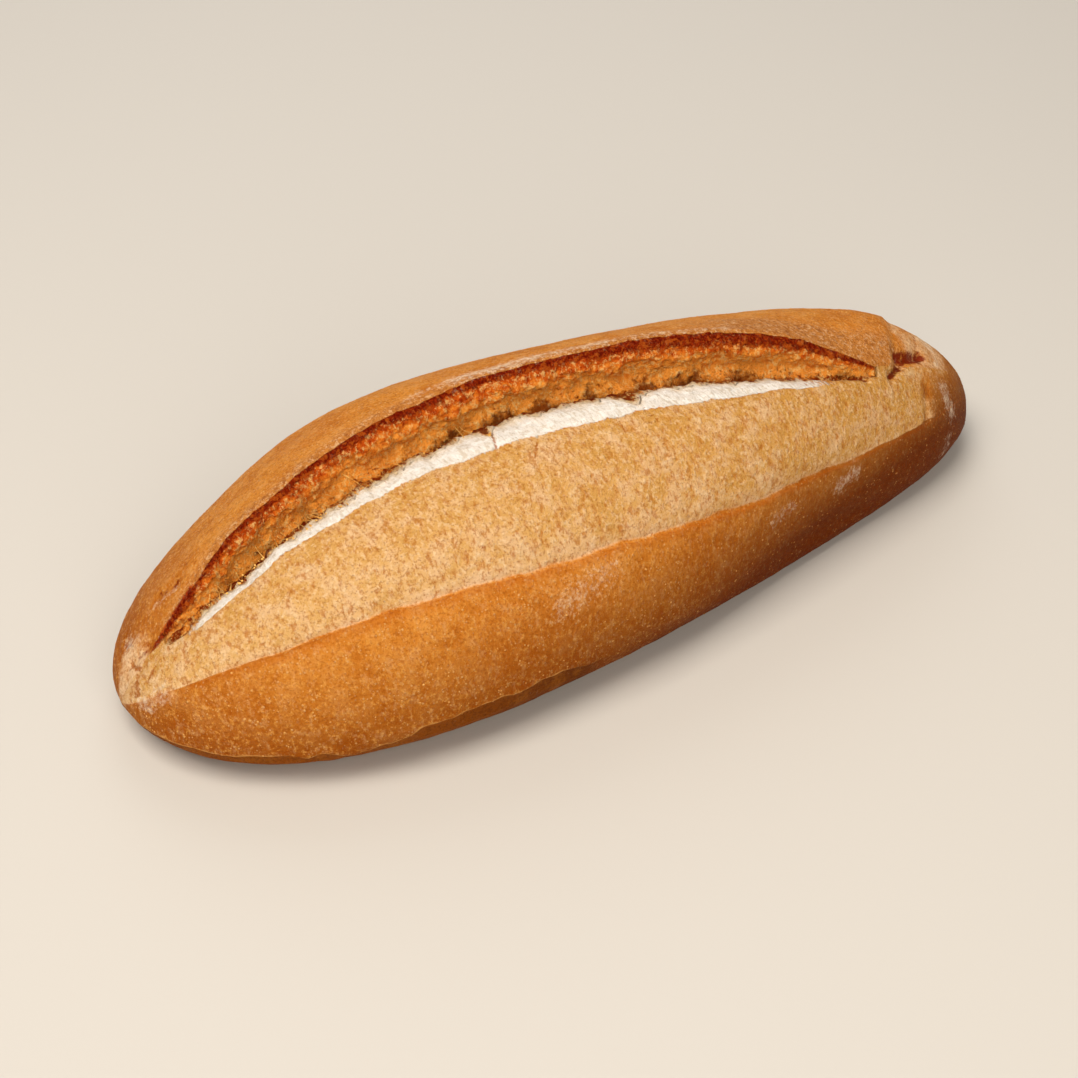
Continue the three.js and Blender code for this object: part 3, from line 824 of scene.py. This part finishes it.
def baked_bread():
    """Browned starch: nearly matt, with a very faint golden gloss that is duller still on the bloom."""
    material, tree, place = new_material("baked_white_bread_crust")
    field = {}
    for name in stuff:
        if name not in GRAIN_ONLY:
            field[name] = node(tree, "ShaderNodeAttribute", attribute_name=name).outputs["Fac"]
    for name, (size_mm, detail, roughness, stretch) in NOISES.items():
        spot = node(tree, "ShaderNodeMapping", {"Vector": place, "Scale": stretch}).outputs[0]
        inputs = {"Vector": spot, "Scale": per_metre(size_mm), "Detail": detail, "Roughness": roughness}
        field[name] = node(tree, "ShaderNodeTexNoise", inputs).outputs["Fac"]

    # Blisters: discs round scattered points. Fewer than half of the points get one, and their sizes differ.
    # They
    # are laid pale: partly the blisters' own paler crust, partly painted glints.
    cells = node(tree, "ShaderNodeTexVoronoi", {"Vector": place, "Scale": per_metre(BLISTER_CELL)})
    chance = node(tree, "ShaderNodeSeparateColor", {0: cells.outputs["Color"]}).outputs[0]
    inputs = {0: chance, 1: BLISTER_CHANCE, 2: 1.0, 4: BLISTER_DISC}
    radius = node(tree, "ShaderNodeMapRange", inputs).outputs[0]
    inputs = {0: radius, 1: cells.outputs["Distance"]}
    inside = node(tree, "ShaderNodeMath", inputs, operation="SUBTRACT").outputs[0]
    field["blister"] = node(tree, "ShaderNodeMapRange", {0: inside, 1: 0.0, 2: BLISTER_EDGE}).outputs[0]

    # Darkest low down in front, towards the slim end: partly baked hardest there, partly painted shade.
    for name in DARKER_TOWARDS:
        field[name] = darker_along(tree, place, name)
    field["baked_and_shaded"] = field["forward"]
    for name in ("low_down", "slim_way"):
        inputs = {0: field["baked_and_shaded"], 1: field[name]}
        field["baked_and_shaded"] = node(tree, "ShaderNodeMath", inputs, operation="MULTIPLY").outputs[0]

    mask = {}
    for name, (noise, amount, start, stop) in EDGES.items():
        inputs = {0: push(tree, field[noise], amount, field[name]), 1: start, 2: stop}
        mask[name] = node(tree, "ShaderNodeMapRange", inputs, interpolation_type="SMOOTHSTEP").outputs[0]

    tone = {}
    for name, (first, *layers) in TONES.items():
        tone[name] = linear(first)
        for layer in layers:
            tone[name] = lay_over(tree, tone[name], field, layer)

    # The torn face goes up through its colours; noise shifts it, and pale threads of crumb and painted
    # highlights cross it.
    shifted = push(tree, field["grain"], FACE_SHIFT, field["torn_up"])
    face = node(tree, "ShaderNodeValToRGB", {0: shifted})
    while len(face.color_ramp.elements) < len(FACE_STOPS):
        face.color_ramp.elements.new(0.5)
    for element, (position, hex_colour) in zip(face.color_ramp.elements, FACE_STOPS):
        element.position = position
        element.color = linear(hex_colour)
    tone["torn"] = lay_over(tree, face.outputs[0], field, FACE_THREADS_AND_HIGHLIGHTS)

    colour = tone["crust"]
    for name, most, over in COATS:
        strength = node(tree, "ShaderNodeMath", {0: mask[name], 1: most}, operation="MULTIPLY").outputs[0]
        inputs = {0: strength, 6: colour, 7: tone.get(over) or linear(over)}
        colour = node(tree, "ShaderNodeMix", inputs, data_type="RGBA").outputs[2]

    height = 0.0
    for name, where, height_mm in RELIEF:
        tall = height_mm
        if where:
            inputs = {0: mask[where], 1: height_mm}
            tall = node(tree, "ShaderNodeMath", inputs, operation="MULTIPLY").outputs[0]
        inputs = {0: field[name], 1: tall, 2: height}
        height = node(tree, "ShaderNodeMath", inputs, operation="MULTIPLY_ADD").outputs[0]
    bump = node(tree, "ShaderNodeBump", {"Strength": 1.0, "Distance": MM, "Height": height}).outputs[0]

    inputs = {0: mask["bloom"], 3: CRUST_ROUGHNESS, 4: BLOOM_ROUGHNESS}
    roughness = node(tree, "ShaderNodeMapRange", inputs).outputs[0]
    inputs = {"Base Color": colour, "Roughness": roughness, "Normal": bump, "IOR": STARCH_IOR}
    inputs["Specular IOR Level"] = CRUST_GLOSS
    inputs["Specular Tint"] = linear(GLOSS_TINT)
    shader = node(tree, "ShaderNodeBsdfPrincipled", inputs)
    node(tree, "ShaderNodeOutputMaterial", {"Surface": shader.outputs[0]})
    return material


bread = baked_bread()
print("material:", bread.name, "with", len(bread.node_tree.nodes), "nodes")

# %% [markdown]
# ## Grain of the surface
# Crust, bloom, crumb and the torn face each have their own roughness, too fine to draw as control lines.
# Sculpting would take hours, and a bump map alone leaves the torn face flat at its edges. A Geometry Nodes
# tree moves every point along its normal instead: it adds one noise per kind of grain, weighted by the
# numbers stored on the skin.


# %% Geometry Nodes helpers
def geometry_tree(name, numbers, counts=()):
    """Geometry Nodes tree that takes a mesh, named numbers and whole numbers, and its input node."""
    tree = bpy.data.node_groups.new(name, "GeometryNodeTree")
    tree.interface.new_socket("Geometry", in_out="INPUT", socket_type="NodeSocketGeometry")
    for key in numbers:
        tree.interface.new_socket(key, in_out="INPUT", socket_type="NodeSocketFloat")
    for key in counts:
        tree.interface.new_socket(key, in_out="INPUT", socket_type="NodeSocketInt")
    tree.interface.new_socket("Geometry", in_out="OUTPUT", socket_type="NodeSocketGeometry")
    return tree, node(tree, "NodeGroupInput")


def give_out(tree, geometry, material):
    """Shade the geometry smooth, make it real, give it its material and hand it out of the tree."""
    inputs = {"Geometry": geometry, "Shade Smooth": True}
    smooth = node(tree, "GeometryNodeSetShadeSmooth", inputs).outputs[0]
    real = node(tree, "GeometryNodeRealizeInstances", {"Geometry": smooth}).outputs[0]
    done = node(tree, "GeometryNodeSetMaterial", {"Geometry": real, "Material": material}).outputs[0]
    node(tree, "NodeGroupOutput", {"Geometry": done})


def apply_nodes(piece, tree, values):
    """Run a Geometry Nodes tree on a piece with these inputs, and keep the result as a plain mesh."""
    modifier = piece.modifiers.new(tree.name, "NODES")
    modifier.node_group = tree
    sockets = {s.name: s.identifier for s in tree.interface.items_tree if s.in_out == "INPUT"}
    for name, value in values.items():
        modifier[sockets[name]] = value
    evaluated = piece.evaluated_get(bpy.context.evaluated_depsgraph_get())
    mesh = bpy.data.meshes.new_from_object(evaluated)
    piece.modifiers.clear()
    piece.data = mesh
    mesh.name = piece.name


# %% Geometry Nodes tree for the grain
# Each kind of grain: number on the skin, size and height in millimetres, stretch of the noise.
GRAINS = {
    "Crust dimple": ("whole", 6.0, 0.5, (1, 1, 1)),
    "Flap pits": ("flap", 2.6, 0.5, (1, 1, 1)),
    "Bloom grain": ("bloom", 2.4, 0.7, (1, 1, 1)),
    "Bloom stretch": ("bloom", 3.2, 0.35, (1, 0.3, 0.3)),
    "Crumb pore": ("crumb", 2.0, 1.2, (1, 0.5, 0.5)),
    "Crumb fold": ("crumb", 8.0, 2.4, (1, 0.3, 0.3)),
    "Torn crag": ("torn", 5.5, 2.4, (1, 1, 1)),
    "Torn crumb": ("torn", 2.0, 3.0, (1, 1, 1)),
}
GRAIN_DETAIL, GRAIN_SEED = 2.0, 4.0


def grain_tree(material):
    measures = [f"{name} {measure}" for name in GRAINS for measure in ("size", "height")]
    tree, source = geometry_tree("surface_grain", [*measures, "Seed"])
    position = node(tree, "GeometryNodeInputPosition").outputs[0]
    normal = node(tree, "GeometryNodeInputNormal").outputs[0]
    total = 0.0
    for name, (where, _, _, stretch) in GRAINS.items():
        size, height = source.outputs[f"{name} size"], source.outputs[f"{name} height"]
        scale = node(tree, "ShaderNodeMath", {0: 1.0, 1: size}, operation="DIVIDE").outputs[0]
        inputs = {0: position, 1: stretch}
        spot = node(tree, "ShaderNodeVectorMath", inputs, operation="MULTIPLY").outputs[0]
        inputs = {"Vector": spot, "W": source.outputs["Seed"], "Scale": scale, "Detail": GRAIN_DETAIL}
        noise = node(tree, "ShaderNodeTexNoise", inputs, noise_dimensions="4D").outputs["Fac"]
        weight = node(tree, "GeometryNodeInputNamedAttribute", {"Name": where}, data_type="FLOAT").outputs[0]
        tall = node(tree, "ShaderNodeMath", {0: height, 1: weight}, operation="MULTIPLY").outputs[0]
        total = push(tree, noise, tall, total)
    offset = node(tree, "ShaderNodeVectorMath", {0: normal, "Scale": total}, operation="SCALE").outputs[0]
    inputs = {"Geometry": source.outputs[0], "Offset": offset}
    give_out(tree, node(tree, "GeometryNodeSetPosition", inputs).outputs[0], material)
    return tree


grain_values = {"Seed": GRAIN_SEED}
for name, (_, size_mm, height_mm, _) in GRAINS.items():
    grain_values[f"{name} size"] = size_mm * MM
    grain_values[f"{name} height"] = height_mm * MM
apply_nodes(loaf, grain_tree(bread), grain_values)
triangles = sum(len(p.vertices) - 2 for p in loaf.data.polygons)
print("loaf:", triangles, "triangles")

# %% Hand the loaf to the frame
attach(loaf, "root")
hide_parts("loaf")

# %% [markdown]
# ## Torn strands
# Where the dough tore, thin threads of crumb still bridge the gap from the white strip to the torn face.
# They follow paths, so a path for each strand is laid from one side to the other and Geometry Nodes wraps a
# thin tube round it. The strands lie thickest near the blunt end and end before mid-length.

# %% Crumb of the strands
PORE = 1.6  # millimetres


def golden_crumb():
    """Thin dried crumb: pale gold, matt, a little darker in its pores."""
    material, tree, place = new_material("dried_golden_crumb")
    inputs = {"Vector": place, "Scale": per_metre(PORE), "Detail": 3.0}
    pores = node(tree, "ShaderNodeTexNoise", inputs).outputs["Fac"]
    share = node(tree, "ShaderNodeMapRange", {0: pores, 1: 0.4, 2: 0.65}).outputs[0]
    inputs = {0: share, 6: linear("E2B464"), 7: linear("CC8E40")}
    colour = node(tree, "ShaderNodeMix", inputs, data_type="RGBA").outputs[2]
    bump = node(tree, "ShaderNodeBump", {"Strength": 0.5, "Distance": 0.3 * MM, "Height": pores}).outputs[0]
    inputs = {"Base Color": colour, "Roughness": 0.85, "Normal": bump, "IOR": STARCH_IOR}
    inputs["Specular IOR Level"] = 0.2
    shader = node(tree, "ShaderNodeBsdfPrincipled", inputs)
    node(tree, "ShaderNodeOutputMaterial", {"Surface": shader.outputs[0]})
    return material


def strand_tree(material):
    tree, source = geometry_tree("torn_strands", [], ["Sides"])
    curve = node(tree, "GeometryNodeMeshToCurve", {"Mesh": source.outputs[0]}).outputs[0]
    inputs = {"Resolution": source.outputs["Sides"], "Radius": 1.0}
    ring = node(tree, "GeometryNodeCurvePrimitiveCircle", inputs).outputs[0]
    inputs = {"Name": "radius_m"}
    radius = node(tree, "GeometryNodeInputNamedAttribute", inputs, data_type="FLOAT").outputs[0]
    inputs = {"Curve": curve, "Profile Curve": ring, "Scale": radius, "Fill Caps": True}
    give_out(tree, node(tree, "GeometryNodeCurveToMesh", inputs).outputs[0], material)
    return tree


# %% Lay the paths and wrap them
STRAND_SIDES = 6
STRAND_POINTS = 7
# Each group: first and last station, number of strands, radius in millimetres.
STRAND_GROUPS = [
    (-0.82, -0.5, 60, 0.07),
    (-0.5, -0.27, 16, 0.06),
    (-0.25, -0.23, 5, 0.08),
]
STRAND_ROOT = 0.12  # share of each strand that is buried at either end
STRAND_SCATTER = 0.006  # stations by which a strand leaves its even place
STRAND_FOOT = (-0.2, 0.8)  # places on the slash, counted from the strip's upper edge
STRAND_HEAD = (8.6, 10.0)  # places on the slash, counted from the rim
STRAND_LEAN = 2  # most columns of the grid between foot and head
STRAND_BOW = 0.08  # bow against the length
STRAND_SPREAD = (0.6, 1.3)  # radius against that of the group
STRAND_FLARE = 1.5  # how much thicker a strand is where it meets the dough
STRAND_SEED = 12


def row_at(where):
    """Row of the grid at a place on the slash."""
    return on_slash.start + int(np.searchsorted(slash_place, where))


draw = np.random.default_rng(STRAND_SEED)
paths, radii, edges = [], [], []
for first, last, count, radius in STRAND_GROUPS:
    for station in np.linspace(first, last, count) + draw.normal(0, STRAND_SCATTER, count):
        column = int(np.searchsorted(u, station))
        foot = grid[row_at(crumb_top[column] + draw.uniform(*STRAND_FOOT)), column]
        head_row = row_at(draw.uniform(*STRAND_HEAD))
        head = grid[head_row, column + int(draw.integers(-STRAND_LEAN, STRAND_LEAN + 1))]
        reach = head - foot
        share = np.linspace(-STRAND_ROOT, 1 + STRAND_ROOT, STRAND_POINTS)[:, None]
        bow = draw.normal(0, STRAND_BOW, 3) * np.linalg.norm(reach)
        line = foot + reach * share + bow * np.sin(np.pi * share)
        start = len(paths) * STRAND_POINTS
        paths.append(line)
        flare = 1 + STRAND_FLARE * np.abs(2 * share[:, 0] - 1) ** 3
        radii.append(radius * draw.uniform(*STRAND_SPREAD) * flare)
        edges += [(start + k, start + k + 1) for k in range(STRAND_POINTS - 1)]
strand_mesh = bpy.data.meshes.new("torn_strands")
strand_mesh.from_pydata(np.concatenate(paths) * MM, edges, [])
layer = strand_mesh.attributes.new("radius_m", "FLOAT", "POINT")
layer.data.foreach_set("value", (np.concatenate(radii) * MM).astype(np.float32))
strands = add("torn_strands", strand_mesh)
apply_nodes(strands, strand_tree(golden_crumb()), {"Sides": STRAND_SIDES})
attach(strands, "root")
print("strands:", len(paths), "with", len(strands.data.polygons), "faces")

# %% [markdown]
# ## Blisters
# Steam under the crust raises thousands of tiny blisters, less than a millimetre across. Modelling each by
# hand is out of the question, and a bump map gives them no edge against the light. Geometry Nodes scatters
# points over the crust, more where the skin says crust and none on bare bloom or crumb, and puts a flattened
# ball on each, so that a low dome shows.

# %% Crust of the blisters
TINT_PATCH = 4  # millimetres


def blister_crust():
    """Thin blistered crust: paler than the rest, since it dries before it browns, with a faint gloss."""
    material, tree, place = new_material("blistered_crust")
    inputs = {"Vector": place, "Scale": per_metre(TINT_PATCH), "Detail": 2.0}
    tint = node(tree, "ShaderNodeTexNoise", inputs).outputs["Fac"]
    share = node(tree, "ShaderNodeMapRange", {0: tint, 1: 0.35, 2: 0.65}).outputs[0]
    inputs = {0: share, 6: linear("D8A258"), 7: linear("B46C24")}
    pale = node(tree, "ShaderNodeMix", inputs, data_type="RGBA").outputs[2]
    # darker low down towards the slim end, like the crust: partly browner, partly painted shade
    inputs = {0: darker_along(tree, place, "low_down"), 1: darker_along(tree, place, "slim_way")}
    baked_and_shaded_share = node(tree, "ShaderNodeMath", inputs, operation="MULTIPLY").outputs[0]
    inputs = {0: baked_and_shaded_share, 6: pale, 7: linear("7A3A0C")}
    colour = node(tree, "ShaderNodeMix", inputs, data_type="RGBA").outputs[2]
    inputs = {"Base Color": colour, "Roughness": 0.55, "IOR": STARCH_IOR, "Specular IOR Level": 0.3}
    shader = node(tree, "ShaderNodeBsdfPrincipled", inputs)
    node(tree, "ShaderNodeOutputMaterial", {"Surface": shader.outputs[0]})
    return material


# %% Scatter the blisters
BLISTER_DENSITY = 80000.0  # per square metre of crust
BLISTER_SMALLEST, BLISTER_LARGEST = 0.12, 0.4  # radii in millimetres
BLISTER_FLATNESS = 0.35
BLISTER_FACES = 20  # of each ball
BLISTER_SEED = 7


def blister_tree(material):
    tree, source = geometry_tree("crust_blisters", ["Density", "Smallest", "Largest", "Flatness"], ["Seed"])
    crust = node(tree, "GeometryNodeInputNamedAttribute", {"Name": "crust"}, data_type="FLOAT").outputs[0]
    inputs = {0: crust, 1: source.outputs["Density"]}
    dense = node(tree, "ShaderNodeMath", inputs, operation="MULTIPLY").outputs[0]
    inputs = {"Mesh": source.outputs[0], "Density": dense, "Seed": source.outputs["Seed"]}
    points = node(tree, "GeometryNodeDistributePointsOnFaces", inputs)
    inputs = {2: source.outputs["Smallest"], 3: source.outputs["Largest"], "Seed": source.outputs["Seed"]}
    radius = node(tree, "FunctionNodeRandomValue", inputs, data_type="FLOAT").outputs[1]
    inputs = {0: radius, 1: source.outputs["Flatness"]}
    flat = node(tree, "ShaderNodeMath", inputs, operation="MULTIPLY").outputs[0]
    size = node(tree, "ShaderNodeCombineXYZ", {0: radius, 1: radius, 2: flat}).outputs[0]
    ball = node(tree, "GeometryNodeMeshIcoSphere", {"Radius": 1.0, "Subdivisions": 1}).outputs[0]
    inputs = {"Points": points.outputs["Points"], "Instance": ball, "Scale": size}
    inputs["Rotation"] = points.outputs["Rotation"]
    give_out(tree, node(tree, "GeometryNodeInstanceOnPoints", inputs).outputs[0], material)
    return tree


blisters = add("crust_blisters", loaf.data.copy())
blister_values = {"Flatness": BLISTER_FLATNESS, "Seed": BLISTER_SEED}
blister_values["Density"] = BLISTER_DENSITY / (MM * 1000) ** 2
blister_values["Smallest"] = BLISTER_SMALLEST * MM
blister_values["Largest"] = BLISTER_LARGEST * MM
apply_nodes(blisters, blister_tree(blister_crust()), blister_values)
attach(blisters, "root")
faces = len(blisters.data.polygons)
print("blisters:", faces // BLISTER_FACES, "with", faces, "faces")

# %% [markdown]
# ## Floor, light and camera
# A pale floor and large soft lamps show the loaf without hard shadows. The main lamp hangs high beyond the
# blunt end, which leaves the slim end's front in shade. A lower one in front lights the recess under the
# lip, and a weak one behind lifts the back. The camera looks down on the blunt end's front corner, twice the
# loaf's length away, through a short telephoto lens.

# %% Floor
FLOOR_HALF = 3.0  # metres
floor_mesh = bpy.data.meshes.new("floor")
corners = [(-FLOOR_HALF, -FLOOR_HALF, 0), (FLOOR_HALF, -FLOOR_HALF, 0), (FLOOR_HALF, FLOOR_HALF, 0)]
floor_mesh.from_pydata([*corners, (-FLOOR_HALF, FLOOR_HALF, 0)], [], [(0, 1, 2, 3)])
floor = add("floor", floor_mesh)
paper = bpy.data.materials.new("pale_studio_paper")
paper.use_nodes = True
paper.node_tree.nodes["Principled BSDF"].inputs["Base Color"].default_value = linear("C4C0BA")
paper.node_tree.nodes["Principled BSDF"].inputs["Roughness"].default_value = 0.9
floor.data.materials.append(paper)

# %% Lamps
# Each lamp: place and size in metres, power in watts, colour.
LAMPS = {
    "main": ((-0.55, -0.15, 1.4), 0.9, 22.0, "FFF6EA"),
    "fill": ((-0.3, -1.2, 0.75), 0.9, 11.0, "FFF6EA"),
    "back": ((0.4, 0.9, 0.9), 0.8, 4.0, "FFFFFF"),
}
for name, (spot, size, power, tint) in LAMPS.items():
    lamp = bpy.data.lights.new(name, "AREA")
    lamp.size = size
    lamp.energy = power
    lamp.color = linear(tint)[:3]
    holder = add(name, lamp)
    holder.location = spot
    holder.rotation_euler = (-Vector(spot)).to_track_quat("-Z", "Y").to_euler()
print("lamps:", ", ".join(LAMPS))

world = bpy.data.worlds.new("studio")
world.use_nodes = True
world.node_tree.nodes["Background"].inputs["Color"].default_value = linear("F3EDE4")
world.node_tree.nodes["Background"].inputs["Strength"].default_value = 0.3
bpy.context.scene.world = world
bpy.context.scene.view_settings.view_transform = "Standard"

# %% Camera
CAMERA_AZIMUTH, CAMERA_ELEVATION = -30.5, 39.0  # degrees
CAMERA_DISTANCE = 600 * MM
CAMERA_TARGET = Vector((-17.0, -4.1, 19.2)) * MM
CAMERA_LENS = 66.2  # millimetres on a 36 mm wide sensor

azimuth, elevation = math.radians(CAMERA_AZIMUTH), math.radians(CAMERA_ELEVATION)
level = math.cos(elevation)
towards = Vector((math.sin(azimuth) * level, -math.cos(azimuth) * level, math.sin(elevation)))
camera_data = bpy.data.cameras.new("camera")
camera_data.lens = CAMERA_LENS
camera = add("camera", camera_data)
camera.location = CAMERA_TARGET + towards * CAMERA_DISTANCE
camera.rotation_euler = (-towards).to_track_quat("-Z", "Y").to_euler()
bpy.context.scene.camera = camera
print("camera at:", [round(v, 3) for v in camera.location])

# %% Finish
bpy.context.view_layer.update()
